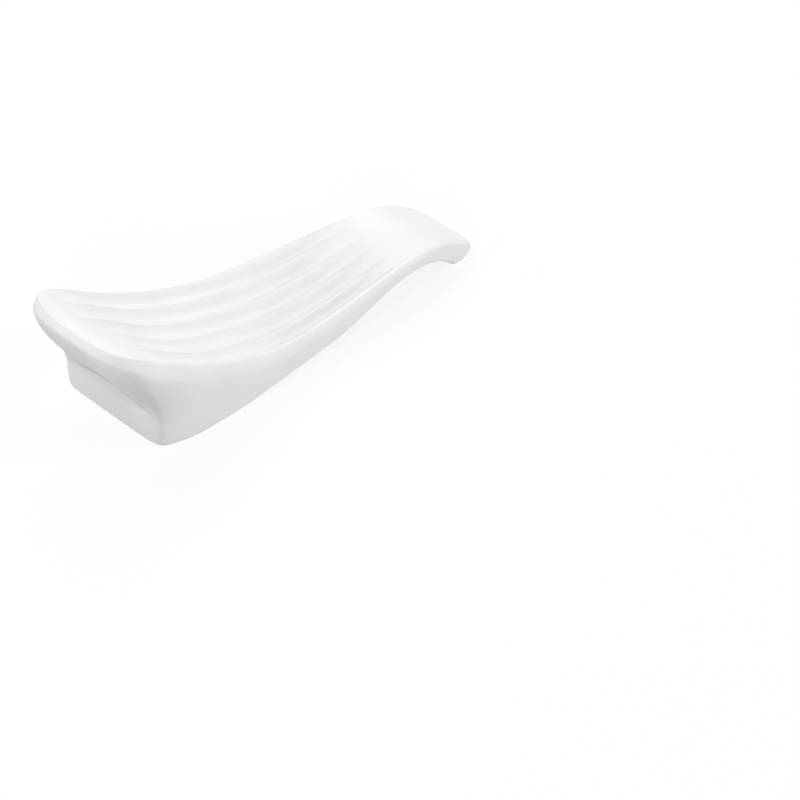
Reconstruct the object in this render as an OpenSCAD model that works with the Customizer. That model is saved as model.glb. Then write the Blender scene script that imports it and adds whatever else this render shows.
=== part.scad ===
// Chopstick rest moulded in one piece: a raised head on a block foot, a long fluted hollow,
// and a thin tail that arches over the table and curls down to it at the tip.
// X runs from the head to the tip, Y across, and the rest stands on Z = 0.
// Places along the length are measured from the nose, the foremost point of the head.

/* [Overall] */
// Length from the nose to the tip
length = 79.8; // [70:0.1:100]
// Width of the head
head_width = 27.8; // [22:0.1:36]
// Width of the tip
tip_width = 13.1; // [9:0.1:18]
// Height of the head above the table
head_height = 19.3; // [16:0.1:25]

/* [Top wave] */
// Distance of the highest line of the head from the nose
crown_place = 2.4; // [1.8:0.1:4]
// Distance from the nose to where the head passes into the long hollow
shoulder_place = 11.3; // [9:0.1:15]
// Drop of the top from the crown to there
shoulder_drop = 4; // [2:0.1:6]
// Distance of the lowest line of the hollow from the nose
saddle_place = 40.8; // [32:0.1:48]
// Height of the top there
saddle_height = 6.45; // [5:0.05:8.5]
// Distance of the crest of the tail from the tip
crest_from_tip = 14; // [10:0.1:19]
// Height of the crest
crest_height = 7.35; // [6.2:0.05:9.5]
// Height where the curl of the tip turns into its round end
curl_height = 2.7; // [2:0.1:4]
// Fall of the top for each millimetre of length there
curl_slope = 0.8; // [0.4:0.05:1.2]

/* [Outline from above] */
// Squareness of the round of the nose: 2 is an ellipse, and more is squarer
nose_power = 3.15; // [2:0.05:5]
// Squareness of the corners of the foot
foot_power = 6; // [2:0.5:8]
// Squareness of the round of the tip
tip_power = 8; // [2:0.5:10]
// Narrowing of each side for each millimetre of length, behind the head
head_taper = 0.045; // [0:0.005:0.15]
// Narrowing of each side for each millimetre of length, at the tip
tip_taper = 0.105; // [0:0.005:0.2]
// Length over which the bow of the nose straightens out along the top
bow_length = 14; // [8:0.5:20]

/* [Head and foot] */
// Overhang of the nose past the end wall of the foot
nose_overhang = 7.3; // [5:0.1:9.5]
// Share of the height of the nose over which its face stays upright
nose_drop = 0.17; // [0.05:0.01:0.33]
// Share of the overhang at the fullest part of the belly under the nose
nose_tuck = 0.45; // [0.3:0.01:0.6]
// Share of the height of the nose at the fullest part of its belly
nose_belly = 0.72; // [0.5:0.01:0.9]
// Length of the corners of the foot, from its end wall to its straight sides
corner_length = 2.4; // [1.5:0.1:4]
// Height of the end wall of the foot, up to the crease under the nose
foot_wall_height = 7.4; // [4:0.1:10]
// Length of the flat base of the foot
foot_length = 17.5; // [13:0.1:26]
// Inset of the sides of the foot at its end wall
foot_inset = 1.9; // [0.2:0.05:3]
// Length over which the sides of the foot flare out to the sides of the head
flare_length = 8.4; // [5:0.1:12]
// Lean of the end wall of the foot for each millimetre of height
end_draft = 0.035; // [0:0.005:0.1]
// Lean of the sides for each millimetre of height
side_draft = 0.05; // [0:0.005:0.08]

/* [Arch under the tail] */
// Slope at which the underside leaves the foot
lift_slope = 0.1; // [0:0.01:0.15]
// Distance from the nose to where the arch begins to climb
rise_place = 44; // [38:0.1:50]
// Height of the underside there
rise_height = 1.2; // [0.6:0.05:1.8]
// Slope of the underside there
rise_slope = 0.03; // [0:0.01:0.1]
// Distance of the top of the arch from the tip
arch_from_tip = 16.2; // [12:0.1:20]
// Height of the top of the arch
arch_height = 4.3; // [3.4:0.1:5.2]
// Slope at which the arch comes down to the tip
heel_slope = 0.95; // [0.6:0.05:1.6]

/* [Tip] */
// Length of the rounded tip past the heel of the arch
tip_length = 4.7; // [3.2:0.1:6]
// Width of the rounding over the end of the tip
tip_rim_width = 0.9; // [0.5:0.1:2]
// Height of the rounding over the end of the tip
tip_rim_height = 1.3; // [0.6:0.1:1.9]
// Width of the rounding under the end of the tip
tip_round = 1.6; // [0.8:0.1:2.4]

/* [Rims] */
// Width of the rim at the middle of the nose
nose_rim_width = 1; // [0.6:0.1:2.2]
// Height of the rim at the middle of the nose
nose_rim_height = 1.2; // [0.8:0.1:4]
// Flatness of the rim at the middle of the nose: 0 is round, and 1 is a bevel
nose_rim_flat = 0.5; // [0:0.05:1]
// Height of the rim at the corners of the nose
corner_rim_height = 2.1; // [0.8:0.1:4]
// Flatness of the rim at the corners of the nose
corner_rim_flat = 0.9; // [0:0.05:1]
// Width of the rim along the sides of the head
head_rim_width = 0.7; // [0.4:0.05:2]
// Height of the rim along the sides of the head
head_rim_height = 3.4; // [0.8:0.1:4]
// Flatness of the rim along the sides of the head
head_rim_flat = 0.4; // [0:0.05:1]
// Width of the rim along the sides of the tail
tail_rim_width = 0.45; // [0.3:0.05:1.5]
// Height of the rim along the sides of the tail
tail_rim_height = 0.9; // [0.4:0.05:1.4]
// Flatness of the rim along the sides of the tail
tail_rim_flat = 0.3; // [0:0.05:1]
// Rounding of the lower edge
base_edge = 0.3; // [0.1:0.05:0.6]

/* [Flutes] */
// Number of flutes across the top
flute_count = 5; // [3:1:8]
// Depth of a flute below the ridges beside it
flute_depth = 0.8; // [0.2:0.05:1.1]
// Steepness of a flute beside its ridges: 2 is a round flute, and more is flatter with steeper sides
flute_power = 2.5; // [2:0.1:5]
// Depth of the hollow across the top, from rim to middle
dish_depth = 1.1; // [0:0.05:1.5]
// Distance from the nose to where the middle flutes start
flute_start = 2.8; // [2.4:0.1:8]
// Distance by which the flutes start later at the sides
flute_lag = 3.4; // [0:0.1:6]
// Length over which a flute deepens
flute_run_in = 5; // [3:0.5:14]
// Length over which the hollow across the top deepens
dish_run_in = 16; // [8:0.5:24]
// Distance from the tip to where the flutes have faded out
flute_end_from_tip = 14.6; // [9:0.1:24]
// Length over which a flute fades out
flute_run_out = 16; // [5:0.5:20]

/* [Hidden] */

// Share of the half width that belongs to an end, the rest being its corner
end_share = 0.88;

// Steps of the mesh
flute_steps = 6;
corner_steps = 6;
side_steps = 40;
rim_steps = 5;
nose_steps = 6;
wall_steps = 3;
edge_steps = 2;
columns = flute_count * flute_steps;
rows = side_steps + 2 * corner_steps;

// Places along the length, from the nose
corner_place = nose_overhang + corner_length;
foot_end = nose_overhang + foot_length;
arch_place = length - arch_from_tip;
crest_place = length - crest_from_tip;
flute_end = length - flute_end_from_tip;
heel_place = length - tip_length;

// Rims, as [width, height, flatness]
nose_rim = [nose_rim_width, nose_rim_height, nose_rim_flat];
corner_rim = [nose_rim_width, corner_rim_height, corner_rim_flat];
head_rim = [head_rim_width, head_rim_height, head_rim_flat];
tail_rim = [tail_rim_width, tail_rim_height, tail_rim_flat];
tip_rim = [tip_rim_width, tip_rim_height, 0];

shoulder_height = head_height - shoulder_drop;
shoulder_slope = -2 * (shoulder_height - saddle_height) / (saddle_place - shoulder_place);
// Share of the height under the rim that the end wall of the foot takes
foot_share = foot_wall_height / (head_height - nose_rim_height);

// Wave of the top and arch of the underside, as [place, height, slope]
top_wave = [
    [crown_place, head_height, 0],
    [shoulder_place, shoulder_height, shoulder_slope],
    [saddle_place, saddle_height, 0],
    [crest_place, crest_height, 0],
    [length - tip_rim_width, curl_height, -curl_slope]
];
under_wave = [
    [foot_end, 0, lift_slope],
    [rise_place, rise_height, rise_slope],
    [arch_place, arch_height, 0],
    [heel_place, 0, -heel_slope]
];

function mix(a, b, t) = a + (b - a) * t;
function part_way(x, a, b) = min(1, max(0, (x - a) / (b - a)));
function gently(t) = t * t * (3 - 2 * t);

// Cubic curve between two [place, height, slope] keys
function curve(x, p, q) =
    let (span = q[0] - p[0], t = (x - p[0]) / span, r = 1 - t)
    p[1] * (1 + 2 * t) * r * r + q[1] * t * t * (1 + 2 * r) + span * t * r * (p[2] * r - q[2] * t);

// Chain of such curves, level beyond its ends
function wave(x, keys, i = 0) =
    x <= keys[i][0] ? keys[i][1]
    : i == len(keys) - 1 ? keys[i][1]
    : x <= keys[i + 1][0] ? curve(x, keys[i], keys[i + 1])
    : wave(x, keys, i + 1);

function top_height(s) = wave(s, top_wave);
function under_height(s) = wave(s, under_wave);
function half_width(s) =
    curve(max(s, corner_place),
          [corner_place, head_width / 2, -head_taper],
          [length, tip_width / 2, -tip_taper]);

// Round of an end in plan: 1 at the middle, 0 at the sides
function end_round(w, power) = pow(max(0, 1 - pow(min(1, abs(w)), power)), 1 / power);

// The skin is a stack of rings from the inside of the rim down to the inside of the base, as
// [turn over the rim, share of the way in under the nose, share of the way down, turn under the base]
rings = concat(
    [for (k = [0:rim_steps]) [90 * k / rim_steps, 0, 0, 0]],
    [for (k = [1:nose_steps])
        let (t = k / nose_steps, early = 3 * t * pow(1 - t, 2), late = 3 * t * t * (1 - t), last = pow(t, 3))
        [90, late * nose_tuck + last, (1 - foot_share) * (early * nose_drop + late * nose_belly + last), 0]],
    [for (k = [1:wall_steps]) [90, 1, mix(1 - foot_share, 1, k / wall_steps), 0]],
    [for (k = [1:edge_steps]) [90, 1, 1, 90 * k / edge_steps]]
);
function rim_turn(ring) = ring[0];
function inward(ring) = ring[1];
function downward(ring) = ring[2];
function base_turn(ring) = ring[3];

// Rim along the sides
function side_rim(s) = mix(head_rim, tail_rim, part_way(s, corner_place, heel_place));

// Rim round the ends: across the nose it turns into that of the corners, and there into that of the sides
function end_rim(i, j, s) =
    i == 0 ? mix(nose_rim, corner_rim, pow(column_share(j), 2))
    : i < corner_steps ? mix(corner_rim, side_rim(s), gently(i / corner_steps))
    : mix(tip_rim, side_rim(s), gently(min(1, (rows - i) / corner_steps)));

// How far a ring on a rim stays inside its outer edge, and how far it lies below its inner edge
function rim_in(rim, turn) = rim[0] * (1 - mix(sin(turn), turn / 90, rim[2]));
function rim_down(rim, turn) = rim[1] * mix(1 - cos(turn), turn / 90, rim[2]);

// Height of a ring where the top inside the rim is at place s
function ring_height(ring, s, rim) =
    let (outer = top_height(s) - rim_down(rim, rim_turn(ring)))
    mix(outer, under_height(s) + base_edge, downward(ring)) - base_edge * sin(base_turn(ring));

// Half width of a ring
function ring_half_width(ring, s) =
    let (
        rim = side_rim(s),
        flare = pow(1 - part_way(s, nose_overhang, nose_overhang + flare_length), 2),
        height = ring_height(ring, s, rim),
        lean = side_draft * (top_height(s) - rim[1] - height) * (rim_turn(ring) < 90 ? 0 : 1)
    )
    half_width(s) - rim_in(rim, rim_turn(ring)) - foot_inset * flare * inward(ring) - lean
    - base_edge * (1 - cos(base_turn(ring)));

// Reach of a ring past the corner place, at the nose
function nose_reach(ring) =
    corner_place - rim_in(nose_rim, rim_turn(ring))
    - inward(ring) * (nose_overhang - end_draft * foot_wall_height * (1 - downward(ring)) / foot_share)
    - base_edge * (1 - cos(base_turn(ring)));
function nose_square(ring) = mix(nose_power, foot_power, inward(ring));

// Reach of a ring past the heel, at the tip
function tip_reach(ring) =
    tip_length - rim_in(tip_rim, rim_turn(ring))
    - tip_round * (1 - sqrt(1 - downward(ring) * downward(ring))) - base_edge * (1 - cos(base_turn(ring)));

// Lateral share of a corner row, from the end to the side
function corner_share(t) = 1 - (1 - end_share) * pow(1 - t, 2);

// Place and half width of the outline of a ring at a row
function row_edge(ring, i) =
    let (
        from_tip = rows - i,
        w = corner_share(min(1, min(i, from_tip) / corner_steps)),
        s = i < corner_steps ? corner_place - nose_reach(ring) * end_round(w, nose_square(ring))
            : from_tip < corner_steps ? heel_place + tip_reach(ring) * end_round(w, tip_power)
            : mix(corner_place, heel_place, (i - corner_steps) / side_steps)
    )
    [s, ring_half_width(ring, s) * w];

// Place of a column across its flute, from -1 to 1, with columns closer together at the ridges
function across_flute(j) = sin(180 * (j % flute_steps) / flute_steps - 90);

// Place of a column across the whole top, from -1 to 1
function column_share(j) = (2 * floor(j / flute_steps) + 1 + across_flute(j)) / flute_count - 1;

// Distance of a column from the middle: flutes share the full width, and the outer ones end at the rim
function column_place(j, edge, half) =
    let (
        share = column_share(j),
        last_ridge = 1 - 2 / flute_count,
        past = (abs(share) - last_ridge) / (1 - last_ridge)
    )
    past <= 0 ? share * half : sign(share) * mix(last_ridge * half, edge, past);

// Plan place of a point on a ring or inside it, as [place, distance from the middle]
function plan_point(ring, i, j) =
    let (
        edge = row_edge(ring, i),
        y = column_place(j, edge[1], min(half_width(edge[0]), edge[1] / end_share)),
        w = end_share * y / edge[1],
        nose_edge = row_edge(ring, 0)[0],
        tip_edge = row_edge(ring, rows)[0],
        nose_bow = 1 - gently(part_way(edge[0], nose_edge, nose_edge + bow_length)),
        tip_bow = gently(part_way(edge[0], heel_place - tip_length, tip_edge)),
        nose_lift = end_round(w, nose_square(ring)) - end_round(end_share, nose_square(ring)),
        tip_lift = end_round(w, tip_power) - end_round(end_share, tip_power)
    )
    [edge[0] - nose_bow * nose_lift * nose_reach(ring) + tip_bow * tip_lift * tip_reach(ring), y];

// Depth of the flutes and of the hollow across the top
function flute_cut(s, y, edge, j) =
    let (
        start = flute_start + flute_lag * pow(2 * y / head_width, 2),
        flute = flute_depth * (1 - pow(abs(across_flute(j)), flute_power))
            * gently(part_way(s, start, start + flute_run_in)),
        dish = dish_depth * (1 - pow(y / edge, 2)) * gently(part_way(s, start, start + dish_run_in))
    )
    (flute + dish) * gently(part_way(s, flute_end, flute_end - flute_run_out));

// Point of the skin
function on_ring(ring, i, j) =
    let (inner = plan_point(rings[0], i, j)[0], plan = plan_point(ring, i, j))
    [plan[0], plan[1], ring_height(ring, inner, end_rim(i, j, inner))];
function on_top(i, j) =
    let (plan = plan_point(rings[0], i, j), edge = row_edge(rings[0], i)[1])
    [plan[0], plan[1], top_height(plan[0]) - flute_cut(plan[0], plan[1], edge, j)];

// Rows and columns round the edge, anticlockwise from above, starting at the near corner of the nose
loop = concat(
    [for (i = [0:rows - 1]) [i, 0]],
    [for (j = [0:columns - 1]) [rows, j]],
    [for (i = [rows:-1:1]) [i, columns]],
    [for (j = [columns:-1:1]) [0, j]]
);
around = len(loop);
last_ring = (len(rings) - 1) * around;
function loop_index(i, j) =
    j == 0 ? i
    : i == rows ? rows + j
    : j == columns ? 2 * rows + columns - i
    : 2 * rows + 2 * columns - j;
function is_edge(i, j) = i == 0 || i == rows || j == 0 || j == columns;
function top_index(i, j) =
    is_edge(i, j) ? loop_index(i, j) : len(rings) * around + (i - 1) * (columns - 1) + j - 1;
function base_index(i, j) = last_ring + loop_index(i, j);

module rest_body() {
    points = concat(
        [for (ring = rings) for (cell = loop) on_ring(ring, cell[0], cell[1])],
        [for (i = [1:rows - 1]) for (j = [1:columns - 1]) on_top(i, j)]
    );
    sides = [
        for (k = [0:len(rings) - 2]) for (n = [0:around - 1])
            let (a = k * around + n, b = k * around + (n + 1) % around)
            each [[a, b, b + around], [a, b + around, a + around]]
    ];
    top = [
        for (i = [0:rows - 1]) for (j = [0:columns - 1])
            let (a = top_index(i, j), b = top_index(i + 1, j),
                 c = top_index(i + 1, j + 1), d = top_index(i, j + 1))
            each [[a, d, c], [a, c, b]]
    ];
    base = concat(
        [for (j = [0:columns - 1]) [base_index(1, 0), base_index(0, j + 1), base_index(0, j)]],
        [[base_index(1, 0), base_index(1, columns), base_index(0, columns)]],
        [for (i = [1:rows - 2])
            [base_index(i, 0), base_index(i + 1, 0), base_index(i + 1, columns), base_index(i, columns)]],
        [for (j = [0:columns - 1]) [base_index(rows - 1, 0), base_index(rows, j), base_index(rows, j + 1)]],
        [[base_index(rows - 1, 0), base_index(rows, columns), base_index(rows - 1, columns)]]
    );
    color("white")
        translate([-length / 2, 0, 0])
            polyhedron(points, concat(sides, top, base), convexity = 6);
}

rest_body();
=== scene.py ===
"""Chopstick rest, moulded in one piece, in satin white.

The skin is modelled as a sheet that becomes the fluted top. Its edge is extruded down ring by ring
over the rim, under the nose and down the walls, and is closed across the base. A subdivision surface
smooths it. Sizes of the rest are in millimetres and are turned into metres where points are placed.
The floor and the lamps are in metres.
"""
import math
from collections import namedtuple

import bpy
from mathutils import Matrix, Vector


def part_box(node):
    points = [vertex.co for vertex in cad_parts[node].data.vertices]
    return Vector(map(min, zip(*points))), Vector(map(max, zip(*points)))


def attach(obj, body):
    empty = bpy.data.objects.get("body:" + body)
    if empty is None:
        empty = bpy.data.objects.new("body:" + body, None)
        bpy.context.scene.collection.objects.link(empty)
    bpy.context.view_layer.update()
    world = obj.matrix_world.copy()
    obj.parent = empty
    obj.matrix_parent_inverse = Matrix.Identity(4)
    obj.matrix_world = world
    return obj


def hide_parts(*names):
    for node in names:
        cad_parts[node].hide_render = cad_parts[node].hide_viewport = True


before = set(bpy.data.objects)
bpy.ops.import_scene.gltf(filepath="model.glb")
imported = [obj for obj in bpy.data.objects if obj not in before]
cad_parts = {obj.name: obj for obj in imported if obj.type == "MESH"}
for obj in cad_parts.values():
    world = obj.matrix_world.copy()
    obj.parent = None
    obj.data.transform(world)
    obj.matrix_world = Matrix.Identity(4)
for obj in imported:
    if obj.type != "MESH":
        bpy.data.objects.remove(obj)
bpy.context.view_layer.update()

MM = 0.001
low_corner, high_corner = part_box("rest_body")

# Overall sizes, from the frame
LENGTH = (high_corner.x - low_corner.x) / MM
HEAD_WIDTH = (high_corner.y - low_corner.y) / MM
HEAD_HEIGHT = high_corner.z / MM

# Wave of the top
CROWN_PLACE = 2.4
CROWN_SLOPE = 0.2
SHOULDER_PLACE = 11.3
SHOULDER_DROP = 4.0
SADDLE_PLACE = 40.8
SADDLE_HEIGHT = 6.45
CREST_FROM_TIP = 14
CREST_HEIGHT = 7.35
CURL_HEIGHT = 2.7
CURL_SLOPE = 0.8

# Outline from above: width of the tip, squareness of the ends, narrowing of each side and length of the bow
TIP_WIDTH = 13.1
NOSE_POWER = 3.15
FOOT_POWER = 6
TIP_POWER = 8
HEAD_TAPER = 0.045
TIP_TAPER = 0.105
BOW_LENGTH = 14

# Head and foot
NOSE_OVERHANG = 7.3
CORNER_LENGTH = 2.4
FOOT_WALL_HEIGHT = 7.4
FOOT_LENGTH = 17.5
FOOT_INSET = 1.9
FLARE_LENGTH = 8.4
END_DRAFT = 0.035
SIDE_DRAFT = 0.05

# Arch under the tail, and the tip
LIFT_SLOPE = 0.1
RISE_PLACE = 44
RISE_HEIGHT = 1.2
RISE_SLOPE = 0.03
ARCH_FROM_TIP = 16.2
ARCH_HEIGHT = 4.3
HEEL_SLOPE = 0.95
TIP_LENGTH = 4.7
TIP_ROUND = 1.6

# Rims, as width, height and flatness from 0 for a round to 1 for a bevel, and the rounding of the lower edge
NOSE_RIM = (1.0, 1.2, 0.5)
CORNER_RIM = (1.0, 2.1, 0.9)
HEAD_RIM = (0.7, 3.4, 0.4)
TAIL_RIM = (0.45, 0.9, 0.3)
TIP_RIM = (0.9, 1.3, 0)
BASE_EDGE = 0.3

# Flutes, and the dish across all of them
FLUTE_COUNT = 5
FLUTE_DEPTH = 1.0
FLUTE_POWER = 2.5
DISH_DEPTH = 1.1
FLUTE_START = 2.8
FLUTE_LAG = 3.4
FLUTE_RUN_IN = 5
DISH_RUN_IN = 16
FLUTE_END_FROM_TIP = 14.6
FLUTE_RUN_OUT = 16

# Steps of the sheet and of the rings
FLUTE_STEPS = 6
CORNER_STEPS = 6
SIDE_STEPS = 40
RIM_STEPS = 5
NOSE_STEPS = 6
WALL_STEPS = 3
EDGE_STEPS = 2
COLUMNS = FLUTE_COUNT * FLUTE_STEPS
ROWS = SIDE_STEPS + 2 * CORNER_STEPS

# Share of the half width that an end row spans, with the corner rows beyond it
END_SHARE = 0.88

# Smoothing
SMOOTH_LEVELS = 2
CROWN_CREASE = 0.4
SHARP_ANGLE = 22

# Fold under the nose: towards the corners it bows down and turns into a soft hollow
FOLD_HEIGHT = 6.9
FOLD_BOW = 1.4
FOLD_SOFTENING = 5
FACE_DROP = 0.22
FACE_TUCK = 0.69
FACE_BELLY = 0.72
CORNER_TUCK = 0.97
CORNER_BELLY = 0.68

# Fine groove below the fold: it is full up to one share of the half width and gone at the next
FOLD_SHARP = 0.6
FOLD_SOFT = 0.85
GROOVE_DROP = 0.3
GROOVE_DEPTH = 2.0
GROOVE_LIP = 0.28
GROOVE_LEAST_LIP = 0.1

# Satin white: tones of its clouds, range of its roughness, fineness of its noises and depth of its relief
DEEP_TONE = (0.80, 0.80, 0.795, 1)
PALE_TONE = (0.84, 0.84, 0.835, 1)
LEAST_ROUGHNESS = 0.4
MOST_ROUGHNESS = 0.5
REFRACTION = 1.5
CLOUD_FINENESS = 130
MARK_FINENESS = 2200
MARK_STRETCH = (0.05, 1, 1)
GRAIN_FINENESS = 3500
NOISE_LOW = 0.3
NOISE_HIGH = 0.7
RELIEF_STRENGTH = 0.25
RELIEF_DEPTH = 0.01

# Floor of the studio: its size in metres, the share of light it throws back and the strength of its shadow
FLOOR_SIZE = 6
FLOOR_BOUNCE = 0.36
SHADOW_SHARE = 0.15
WHITE = (1, 1, 1, 1)

# Places along the length, from the nose
CORNER_PLACE = NOSE_OVERHANG + CORNER_LENGTH
FOOT_END = NOSE_OVERHANG + FOOT_LENGTH
ARCH_PLACE = LENGTH - ARCH_FROM_TIP
CREST_PLACE = LENGTH - CREST_FROM_TIP
FLUTE_END = LENGTH - FLUTE_END_FROM_TIP
HEEL_PLACE = LENGTH - TIP_LENGTH

SHOULDER_HEIGHT = HEAD_HEIGHT - SHOULDER_DROP
SHOULDER_SLOPE = -2 * (SHOULDER_HEIGHT - SADDLE_HEIGHT) / (SADDLE_PLACE - SHOULDER_PLACE)
FOOT_SHARE = FOOT_WALL_HEIGHT / (HEAD_HEIGHT - NOSE_RIM[1])

# Wave of the top and arch of the underside, as place, height and slope
TOP_WAVE = [
    (CROWN_PLACE, HEAD_HEIGHT, -CROWN_SLOPE),
    (SHOULDER_PLACE, SHOULDER_HEIGHT, SHOULDER_SLOPE),
    (SADDLE_PLACE, SADDLE_HEIGHT, 0),
    (CREST_PLACE, CREST_HEIGHT, 0),
    (LENGTH - TIP_RIM[0], CURL_HEIGHT, -CURL_SLOPE),
]
UNDER_WAVE = [
    (FOOT_END, 0, LIFT_SLOPE),
    (RISE_PLACE, RISE_HEIGHT, RISE_SLOPE),
    (ARCH_PLACE, ARCH_HEIGHT, 0),
    (HEEL_PLACE, 0, -HEEL_SLOPE),
]

# A ring of the skin: its turns over the rim and under the base in degrees,
# and its shares of the way in under the nose and of the way down
Ring = namedtuple("Ring", "rim_turn inward downward base_turn")

# What is noted on each point of the skin
NOTES = ("row", "column", "ring")


def mix(a, b, t):
    return a + (b - a) * t


def mix_each(a, b, t):
    return tuple(mix(p, q, t) for p, q in zip(a, b))


def part_way(x, a, b):
    return min(1, max(0, (x - a) / (b - a)))


def gently(t):
    return t * t * (3 - 2 * t)


def sine(degrees):
    return math.sin(math.radians(degrees))


def cosine(degrees):
    return math.cos(math.radians(degrees))


def curve(x, start, end):
    """Cubic curve between two keys of place, height and slope."""
    span = end[0] - start[0]
    t = (x - start[0]) / span
    r = 1 - t
    heights = start[1] * (1 + 2 * t) * r * r + end[1] * t * t * (1 + 2 * r)
    return heights + span * t * r * (start[2] * r - end[2] * t)


def wave(x, keys):
    """Chain of such curves, level beyond its ends."""
    if x <= keys[0][0]:
        return keys[0][1]
    for start, end in zip(keys, keys[1:]):
        if x <= end[0]:
            return curve(x, start, end)
    return keys[-1][1]


def top_height(s):
    return wave(s, TOP_WAVE)


def under_height(s):
    return wave(s, UNDER_WAVE)


def half_width(s):
    head = (CORNER_PLACE, HEAD_WIDTH / 2, -HEAD_TAPER)
    tip = (LENGTH, TIP_WIDTH / 2, -TIP_TAPER)
    return curve(max(s, CORNER_PLACE), head, tip)


def end_round(w, power):
    """Round of an end in plan: 1 at the middle, 0 at the sides."""
    return max(0, 1 - min(1, abs(w)) ** power) ** (1 / power)


def side_rim(s):
    return mix_each(HEAD_RIM, TAIL_RIM, part_way(s, CORNER_PLACE, HEEL_PLACE))


def end_rim(i, j, s):
    """Rim round the ends, which turns into that of the corners and then into that of the sides."""
    if i == 0:
        return mix_each(NOSE_RIM, CORNER_RIM, column_share(j) ** 2)
    if i < CORNER_STEPS:
        return mix_each(CORNER_RIM, side_rim(s), gently(i / CORNER_STEPS))
    return mix_each(TIP_RIM, side_rim(s), gently(min(1, (ROWS - i) / CORNER_STEPS)))


def rim_in(rim, turn):
    """How far a ring on the rim stays inside its outer edge."""
    return rim[0] * (1 - mix(sine(turn), turn / 90, rim[2]))


def rim_down(rim, turn):
    """How far a ring on the rim lies below its inner edge."""
    return rim[1] * mix(1 - cosine(turn), turn / 90, rim[2])


def wall_height(corner):
    """Height of the foot's walls up to the fold; corner is 0 at the nose's middle and 1 at its corners."""
    return FOLD_HEIGHT - FOLD_BOW * corner ** 2


def wall_start(corner):
    """Share of the way down at the fold."""
    return 1 - FOOT_SHARE * wall_height(corner) / FOOT_WALL_HEIGHT


def nose_ring(t, corner):
    """Ring under the nose, from the rim to the fold."""
    early, late, last = 3 * t * (1 - t) ** 2, 3 * t * t * (1 - t), t ** 3
    softening = corner ** FOLD_SOFTENING
    tuck = mix(FACE_TUCK, CORNER_TUCK, softening)
    belly = mix(FACE_BELLY, CORNER_BELLY, softening)
    downward = early * FACE_DROP + late * belly + last
    return Ring(90, late * tuck + last, wall_start(corner) * downward, 0)


def wall_ring(t, corner):
    """Ring on the walls of the foot, from the fold to the lower edge."""
    return Ring(90, 1, mix(wall_start(corner), 1, t), 0)


def fold_sharpness(corner):
    """1 along the middle of the fold, where it is sharp, and 0 towards its ends."""
    return 1 - gently(part_way(corner, FOLD_SHARP, FOLD_SOFT))


def skin_rings(corner):
    """Rings from the inside of the rim down to the inside of the base, three of them for the groove."""
    lip = mix(GROOVE_LEAST_LIP, GROOVE_LIP, fold_sharpness(corner))
    drops = [GROOVE_DROP + side * lip for side in (-1, 0, 1)]
    groove_turns = [drop / wall_height(corner) for drop in drops]
    lower_turns = [mix(groove_turns[-1], 1, k / WALL_STEPS) for k in range(1, WALL_STEPS + 1)]
    rims = [Ring(90 * k / RIM_STEPS, 0, 0, 0) for k in range(RIM_STEPS + 1)]
    noses = [nose_ring(k / NOSE_STEPS, corner) for k in range(1, NOSE_STEPS + 1)]
    walls = [wall_ring(t, corner) for t in groove_turns + lower_turns]
    edges = [Ring(90, 1, 1, 90 * k / EDGE_STEPS) for k in range(1, EDGE_STEPS + 1)]
    return rims + noses + walls + edges


def ring_height(ring, s, rim):
    outer = top_height(s) - rim_down(rim, ring.rim_turn)
    return mix(outer, under_height(s) + BASE_EDGE, ring.downward) - BASE_EDGE * sine(ring.base_turn)


def ring_half_width(ring, s):
    rim = side_rim(s)
    flare = (1 - part_way(s, NOSE_OVERHANG, NOSE_OVERHANG + FLARE_LENGTH)) ** 2
    drop = top_height(s) - rim[1] - ring_height(ring, s, rim)
    lean = SIDE_DRAFT * drop if ring.rim_turn == 90 else 0
    inset = rim_in(rim, ring.rim_turn) + FOOT_INSET * flare * ring.inward
    return half_width(s) - inset - lean - BASE_EDGE * (1 - cosine(ring.base_turn))


def nose_reach(ring):
    lean = END_DRAFT * FOOT_WALL_HEIGHT * (1 - ring.downward) / FOOT_SHARE
    under = ring.inward * (NOSE_OVERHANG - lean) + BASE_EDGE * (1 - cosine(ring.base_turn))
    return CORNER_PLACE - rim_in(NOSE_RIM, ring.rim_turn) - under


def nose_square(ring):
    return mix(NOSE_POWER, FOOT_POWER, ring.inward)


def tip_reach(ring):
    under = TIP_ROUND * (1 - math.sqrt(1 - ring.downward ** 2)) + BASE_EDGE * (1 - cosine(ring.base_turn))
    return TIP_LENGTH - rim_in(TIP_RIM, ring.rim_turn) - under


def row_edge(ring, i):
    """Place and half width of the outline of a ring at a row."""
    from_tip = ROWS - i
    corner = min(1, min(i, from_tip) / CORNER_STEPS)
    w = 1 - (1 - END_SHARE) * (1 - corner) ** 2
    if i < CORNER_STEPS:
        s = CORNER_PLACE - nose_reach(ring) * end_round(w, nose_square(ring))
    elif from_tip < CORNER_STEPS:
        s = HEEL_PLACE + tip_reach(ring) * end_round(w, TIP_POWER)
    else:
        s = mix(CORNER_PLACE, HEEL_PLACE, (i - CORNER_STEPS) / SIDE_STEPS)
    return s, ring_half_width(ring, s) * w


def across_flute(j):
    """Place of a column across its flute, from -1 to 1, with columns closer together at the ridges."""
    return sine(180 * (j % FLUTE_STEPS) / FLUTE_STEPS - 90)


def column_share(j):
    return (2 * (j // FLUTE_STEPS) + 1 + across_flute(j)) / FLUTE_COUNT - 1


def column_place(j, edge, half):
    """Distance of a column from the middle: flutes share the width, and the outer ones end at the rim."""
    share = column_share(j)
    last_ridge = 1 - 2 / FLUTE_COUNT
    past = (abs(share) - last_ridge) / (1 - last_ridge)
    if past <= 0:
        return share * half
    return math.copysign(mix(last_ridge * half, edge, past), share)


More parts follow.
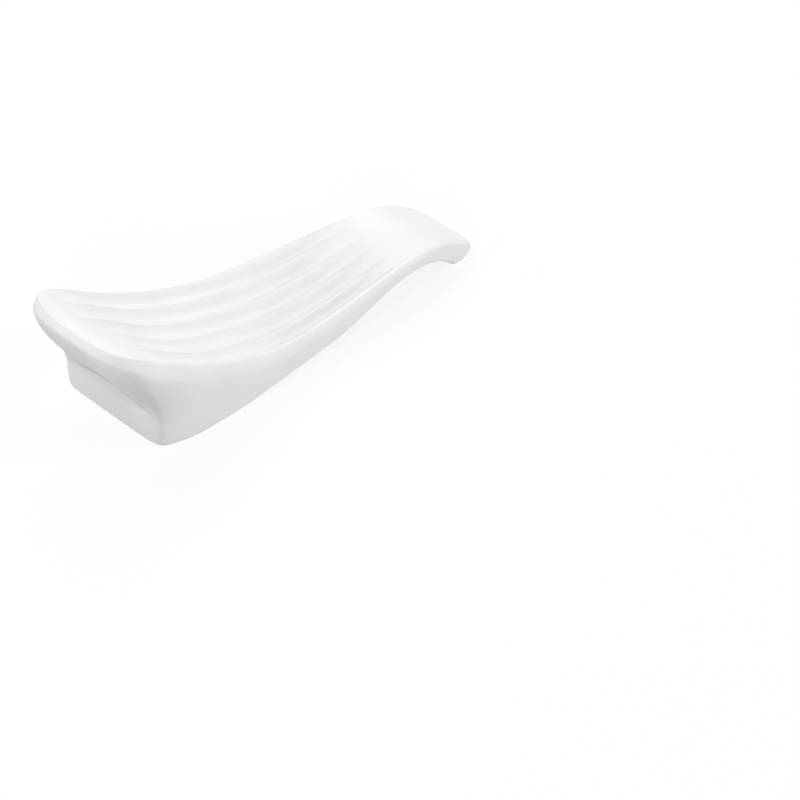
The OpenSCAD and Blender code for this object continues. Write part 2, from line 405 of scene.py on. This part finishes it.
def plan_point(ring, i, j):
    """Place and distance from the middle of a point on a ring or inside it."""
    s, edge = row_edge(ring, i)
    y = column_place(j, edge, min(half_width(s), edge / END_SHARE))
    w = END_SHARE * y / edge
    nose_edge = row_edge(ring, 0)[0]
    tip_edge = row_edge(ring, ROWS)[0]
    nose_bow = 1 - gently(part_way(s, nose_edge, nose_edge + BOW_LENGTH))
    tip_bow = gently(part_way(s, HEEL_PLACE - TIP_LENGTH, tip_edge))
    square = nose_square(ring)
    nose_lift = end_round(w, square) - end_round(END_SHARE, square)
    tip_lift = end_round(w, TIP_POWER) - end_round(END_SHARE, TIP_POWER)
    return s - nose_bow * nose_lift * nose_reach(ring) + tip_bow * tip_lift * tip_reach(ring), y


def flute_cut(s, y, edge, j):
    """Depth of the flutes and of the hollow across the top."""
    start = FLUTE_START + FLUTE_LAG * (2 * y / HEAD_WIDTH) ** 2
    flute_run_in = gently(part_way(s, start, start + FLUTE_RUN_IN))
    dish_run_in = gently(part_way(s, start, start + DISH_RUN_IN))
    run_out = gently(part_way(s, FLUTE_END, FLUTE_END - FLUTE_RUN_OUT))
    flute = FLUTE_DEPTH * (1 - abs(across_flute(j)) ** FLUTE_POWER) * flute_run_in
    dish = DISH_DEPTH * (1 - (y / edge) ** 2) * dish_run_in
    return run_out * (flute + dish)


def placed(s, y, z):
    """Point of the frame in metres, from a place along the length, a distance across and a height."""
    return Vector((s - LENGTH / 2, y, z)) * MM


# Rings that are named: the first, the last one under the nose, and the middle one of the groove's three
RING_COUNT = len(skin_rings(0))
CROWN = skin_rings(0)[0]
FOLD_RING = RIM_STEPS + NOSE_STEPS
GROOVE_RING = FOLD_RING + 2


def on_top(i, j):
    s, y = plan_point(CROWN, i, j)
    edge = row_edge(CROWN, i)[1]
    return placed(s, y, top_height(s) - flute_cut(s, y, edge, j))


def on_ring(number, i, j):
    corner = abs(column_share(j)) if i == 0 else 1
    ring = skin_rings(corner)[number]
    inner = plan_point(CROWN, i, j)[0]
    s, y = plan_point(ring, i, j)
    if number == GROOVE_RING:
        s += GROOVE_DEPTH * fold_sharpness(corner)
    return placed(s, y, ring_height(ring, inner, end_rim(i, j, inner)))


def notes_of(mesh):
    """The row, column and ring noted on each point."""
    return [mesh.attributes[note].data for note in NOTES]


def top_sheet(name):
    """Grid shaped into the fluted top, with its row, column and ring noted on each point."""
    bpy.ops.object.select_all(action="DESELECT")
    bpy.ops.mesh.primitive_grid_add(x_subdivisions=ROWS, y_subdivisions=COLUMNS, size=1)
    sheet = bpy.context.object
    sheet.name = name
    mesh = sheet.data
    for note in NOTES:
        mesh.attributes.new(note, "INT", "POINT")
    row, column, _ = notes_of(mesh)
    for vertex in mesh.vertices:
        i = round((vertex.co.x + 0.5) * ROWS)
        j = round((vertex.co.y + 0.5) * COLUMNS)
        row[vertex.index].value = i
        column[vertex.index].value = j
        vertex.co = on_top(i, j)
    return sheet


def select_border():
    bpy.ops.object.mode_set(mode="EDIT")
    bpy.ops.mesh.select_mode(type="EDGE")
    bpy.ops.mesh.select_all(action="DESELECT")
    bpy.ops.mesh.select_non_manifold()
    bpy.ops.object.mode_set(mode="OBJECT")


def extrude_ring(body, number):
    """Extrudes the selected edge loop once, and places the new loop on a ring."""
    bpy.ops.object.mode_set(mode="EDIT")
    bpy.ops.mesh.extrude_edges_move()
    bpy.ops.object.mode_set(mode="OBJECT")
    row, column, ring = notes_of(body.data)
    for vertex in body.data.vertices:
        if vertex.select:
            ring[vertex.index].value = number
            vertex.co = on_ring(number, row[vertex.index].value, column[vertex.index].value)


def close_base(body):
    """Joins the long sides of the lower edge with faces across the base, and fills the two ends."""
    column = notes_of(body.data)[1]
    for edge in body.data.edges:
        a, b = edge.vertices
        along_side = column[a].value == column[b].value and column[a].value in (0, COLUMNS)
        edge.select = edge.select and along_side
    bpy.ops.object.mode_set(mode="EDIT")
    bpy.ops.mesh.bridge_edge_loops()
    bpy.ops.mesh.select_all(action="SELECT")
    bpy.ops.mesh.fill_holes(sides=0)
    bpy.ops.mesh.normals_make_consistent(inside=False)
    bpy.ops.object.mode_set(mode="OBJECT")


def rest_skin():
    """The whole rest as one closed mesh."""
    body = top_sheet("moulded_rest")
    select_border()
    for number in range(1, RING_COUNT):
        extrude_ring(body, number)
    close_base(body)
    return body


def on_border(row, column):
    return row.value in (0, ROWS) or column.value in (0, COLUMNS)


def mark_creases(body):
    """Keeps the ridges, the rim's crown, the fold, the groove and the lower edge through the smoothing."""
    mesh = body.data
    row, column, ring = notes_of(mesh)
    crease = mesh.attributes.new("crease_edge", "FLOAT", "EDGE").data
    for edge in mesh.edges:
        a, b = edge.vertices
        number = ring[a].value
        if number != ring[b].value:
            continue
        on_crown = number == 0 and on_border(row[a], column[a]) and on_border(row[b], column[b])
        along_top = number == 0 and column[a].value == column[b].value
        if number == RING_COUNT - 1:
            crease[edge.index].value = 1
        elif number in (FOLD_RING, GROOVE_RING) and row[a].value == row[b].value == 0:
            outer = max(abs(column_share(column[a].value)), abs(column_share(column[b].value)))
            crease[edge.index].value = fold_sharpness(outer)
        elif on_crown:
            crease[edge.index].value = CROWN_CREASE
        elif along_top and column[a].value % FLUTE_STEPS == 0:
            crease[edge.index].value = 1


def smooth(body):
    modifier = body.modifiers.new("smooth", "SUBSURF")
    modifier.levels = SMOOTH_LEVELS
    modifier.render_levels = SMOOTH_LEVELS
    bpy.ops.object.modifier_apply(modifier=modifier.name)
    bpy.ops.object.shade_smooth_by_angle(angle=math.radians(SHARP_ANGLE))


def noise(nodes, links, place, scale, detail):
    texture = nodes.new("ShaderNodeTexNoise")
    texture.inputs["Scale"].default_value = scale
    texture.inputs["Detail"].default_value = detail
    links.new(place, texture.inputs["Vector"])
    return texture.outputs["Fac"]


def ranged(nodes, links, value, low, high):
    """Turns the middle of a noise into a range of values."""
    spread = nodes.new("ShaderNodeMapRange")
    spread.inputs["From Min"].default_value = NOISE_LOW
    spread.inputs["From Max"].default_value = NOISE_HIGH
    spread.inputs["To Min"].default_value = low
    spread.inputs["To Max"].default_value = high
    links.new(value, spread.inputs["Value"])
    return spread.outputs["Result"]


def satin_white():
    """White moulded surface with a soft gloss, faintly clouded, with fine polishing marks along it."""
    material = bpy.data.materials.new("satin_white")
    material.use_nodes = True
    nodes = material.node_tree.nodes
    links = material.node_tree.links
    shader = nodes["Principled BSDF"]
    shader.inputs["IOR"].default_value = REFRACTION
    place = nodes.new("ShaderNodeTexCoord").outputs["Object"]
    lengthwise = nodes.new("ShaderNodeMapping")
    lengthwise.inputs["Scale"].default_value = MARK_STRETCH
    links.new(place, lengthwise.inputs["Vector"])
    marks = noise(nodes, links, lengthwise.outputs["Vector"], MARK_FINENESS, detail=3)
    grain = noise(nodes, links, place, GRAIN_FINENESS, detail=2)
    cloud = noise(nodes, links, place, CLOUD_FINENESS, detail=4)

    tone = nodes.new("ShaderNodeMix")
    tone.data_type = "RGBA"
    tone.inputs["A"].default_value = DEEP_TONE
    tone.inputs["B"].default_value = PALE_TONE
    links.new(ranged(nodes, links, cloud, 0, 1), tone.inputs["Factor"])
    links.new(tone.outputs["Result"], shader.inputs["Base Color"])
    roughness = ranged(nodes, links, marks, LEAST_ROUGHNESS, MOST_ROUGHNESS)
    links.new(roughness, shader.inputs["Roughness"])

    surface = nodes.new("ShaderNodeMath")
    surface.operation = "ADD"
    links.new(marks, surface.inputs[0])
    links.new(grain, surface.inputs[1])
    relief = nodes.new("ShaderNodeBump")
    relief.inputs["Strength"].default_value = RELIEF_STRENGTH
    relief.inputs["Distance"].default_value = RELIEF_DEPTH * MM
    links.new(surface.outputs[0], relief.inputs["Height"])
    links.new(relief.outputs["Normal"], shader.inputs["Normal"])
    return material


def looked_at(nodes, links):
    """1 for what is seen straight, reflected or through something clear, and 0 for light on the rest."""
    rays = nodes.new("ShaderNodeLightPath")
    seen = rays.outputs["Is Camera Ray"]
    for way in ("Is Glossy Ray", "Is Transmission Ray"):
        either = nodes.new("ShaderNodeMath")
        either.operation = "MAXIMUM"
        links.new(seen, either.inputs[0])
        links.new(rays.outputs[way], either.inputs[1])
        seen = either.outputs[0]
    return seen


def white_floor():
    """Table of the studio: it looks white and keeps a faint shadow, and throws back a share of the light."""
    bpy.ops.object.select_all(action="DESELECT")
    bpy.ops.mesh.primitive_plane_add(size=FLOOR_SIZE)
    floor = bpy.context.object
    floor.name = "studio_floor"
    material = bpy.data.materials.new("white_table")
    material.use_nodes = True
    nodes = material.node_tree.nodes
    links = material.node_tree.links
    seen = looked_at(nodes, links)
    shader = nodes["Principled BSDF"]
    shader.inputs["Roughness"].default_value = 1
    shader.inputs["Specular IOR Level"].default_value = 0
    shade = nodes.new("ShaderNodeMix")
    shade.data_type = "RGBA"
    shade.inputs["A"].default_value = (FLOOR_BOUNCE, FLOOR_BOUNCE, FLOOR_BOUNCE, 1)
    shade.inputs["B"].default_value = WHITE
    white = nodes.new("ShaderNodeEmission")
    share = nodes.new("ShaderNodeMath")
    share.operation = "MULTIPLY"
    share.inputs[1].default_value = 1 - SHADOW_SHARE
    blend = nodes.new("ShaderNodeMixShader")
    links.new(seen, shade.inputs["Factor"])
    links.new(shade.outputs["Result"], shader.inputs["Base Color"])
    links.new(seen, share.inputs[0])
    links.new(share.outputs[0], blend.inputs[0])
    links.new(shader.outputs[0], blend.inputs[1])
    links.new(white.outputs[0], blend.inputs[2])
    links.new(blend.outputs[0], nodes["Material Output"].inputs[0])
    floor.data.materials.append(material)


def white_surround():
    """Surround that is white where it is looked at, and throws no light on the rest."""
    world = bpy.data.worlds.new("white_surround")
    bpy.context.scene.world = world
    world.use_nodes = True
    nodes = world.node_tree.nodes
    links = world.node_tree.links
    dark = nodes["Background"]
    dark.inputs["Strength"].default_value = 0
    white = nodes.new("ShaderNodeBackground")
    white.inputs["Color"].default_value = WHITE
    blend = nodes.new("ShaderNodeMixShader")
    links.new(looked_at(nodes, links), blend.inputs[0])
    links.new(dark.outputs[0], blend.inputs[1])
    links.new(white.outputs[0], blend.inputs[2])
    links.new(blend.outputs[0], nodes["World Output"].inputs[0])


def soft_lamp(name, place, size, watts):
    """Round lamp at a place in metres, turned to the middle of the base."""
    lamp = bpy.data.lights.new(name, "AREA")
    lamp.shape = "DISK"
    lamp.size = size
    lamp.energy = watts
    holder = bpy.data.objects.new(name, lamp)
    bpy.context.scene.collection.objects.link(holder)
    holder.location = place
    to_base = Vector() - Vector(place)
    holder.rotation_euler = to_base.to_track_quat("-Z", "Y").to_euler()


def photo_camera():
    """Camera of the picture: its turn, its tilt, and the point of the rest that it sees at a known pixel."""
    picture_pixels = 800
    focal_pixels = 3300
    turn = math.radians(43)
    tilt = math.radians(37.12)
    pixels_per_metre = 6.399 / MM
    known_point = placed(NOSE_OVERHANG, 0, 0)
    known_pixel = Vector((111.2, 415.6))
    right = Vector((math.cos(turn), -math.sin(turn), 0))
    up = Vector((math.sin(turn) * math.sin(tilt), math.cos(turn) * math.sin(tilt), math.cos(tilt)))
    back = right.cross(up)
    distance = focal_pixels / pixels_per_metre
    middle_pixel = Vector((picture_pixels / 2, picture_pixels / 2))
    offset = (known_pixel - middle_pixel) / pixels_per_metre
    eye = known_point + back * distance - right * offset.x + up * offset.y
    data = bpy.data.cameras.new("picture_camera")
    data.sensor_width = 36
    data.lens = focal_pixels / picture_pixels * data.sensor_width
    data.clip_start = 0.01
    camera = bpy.data.objects.new("picture_camera", data)
    bpy.context.scene.collection.objects.link(camera)
    turned = Matrix((right, up, back)).transposed().to_4x4()
    camera.matrix_world = Matrix.Translation(eye) @ turned
    bpy.context.scene.camera = camera


body = rest_skin()
mark_creases(body)
smooth(body)
body.data.materials.append(satin_white())
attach(body, "root")
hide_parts("rest_body")

white_floor()
white_surround()
soft_lamp("left_lamp", place=(-0.36, -0.12, 0.55), size=0.03, watts=0.85)
soft_lamp("low_softbox", place=(-0.51, -0.51, 0.19), size=0.35, watts=1.7)
soft_lamp("right_softbox", place=(0.51, -0.51, 0.24), size=0.45, watts=4.3)
soft_lamp("tail_softbox", place=(0.43, 0.43, 0.43), size=0.5, watts=1.75)
soft_lamp("back_softbox", place=(0, 0.48, 0.57), size=0.5, watts=1.6)
soft_lamp("far_low_softbox", place=(-0.51, 0.51, 0.19), size=0.35, watts=0.8)
soft_lamp("far_softbox", place=(-0.34, 0.34, 0.57), size=0.5, watts=1.0)
soft_lamp("nose_softbox", place=(-0.72, 0, 0.19), size=0.35, watts=0.65)
photo_camera()
bpy.context.scene.view_settings.view_transform = "Standard"
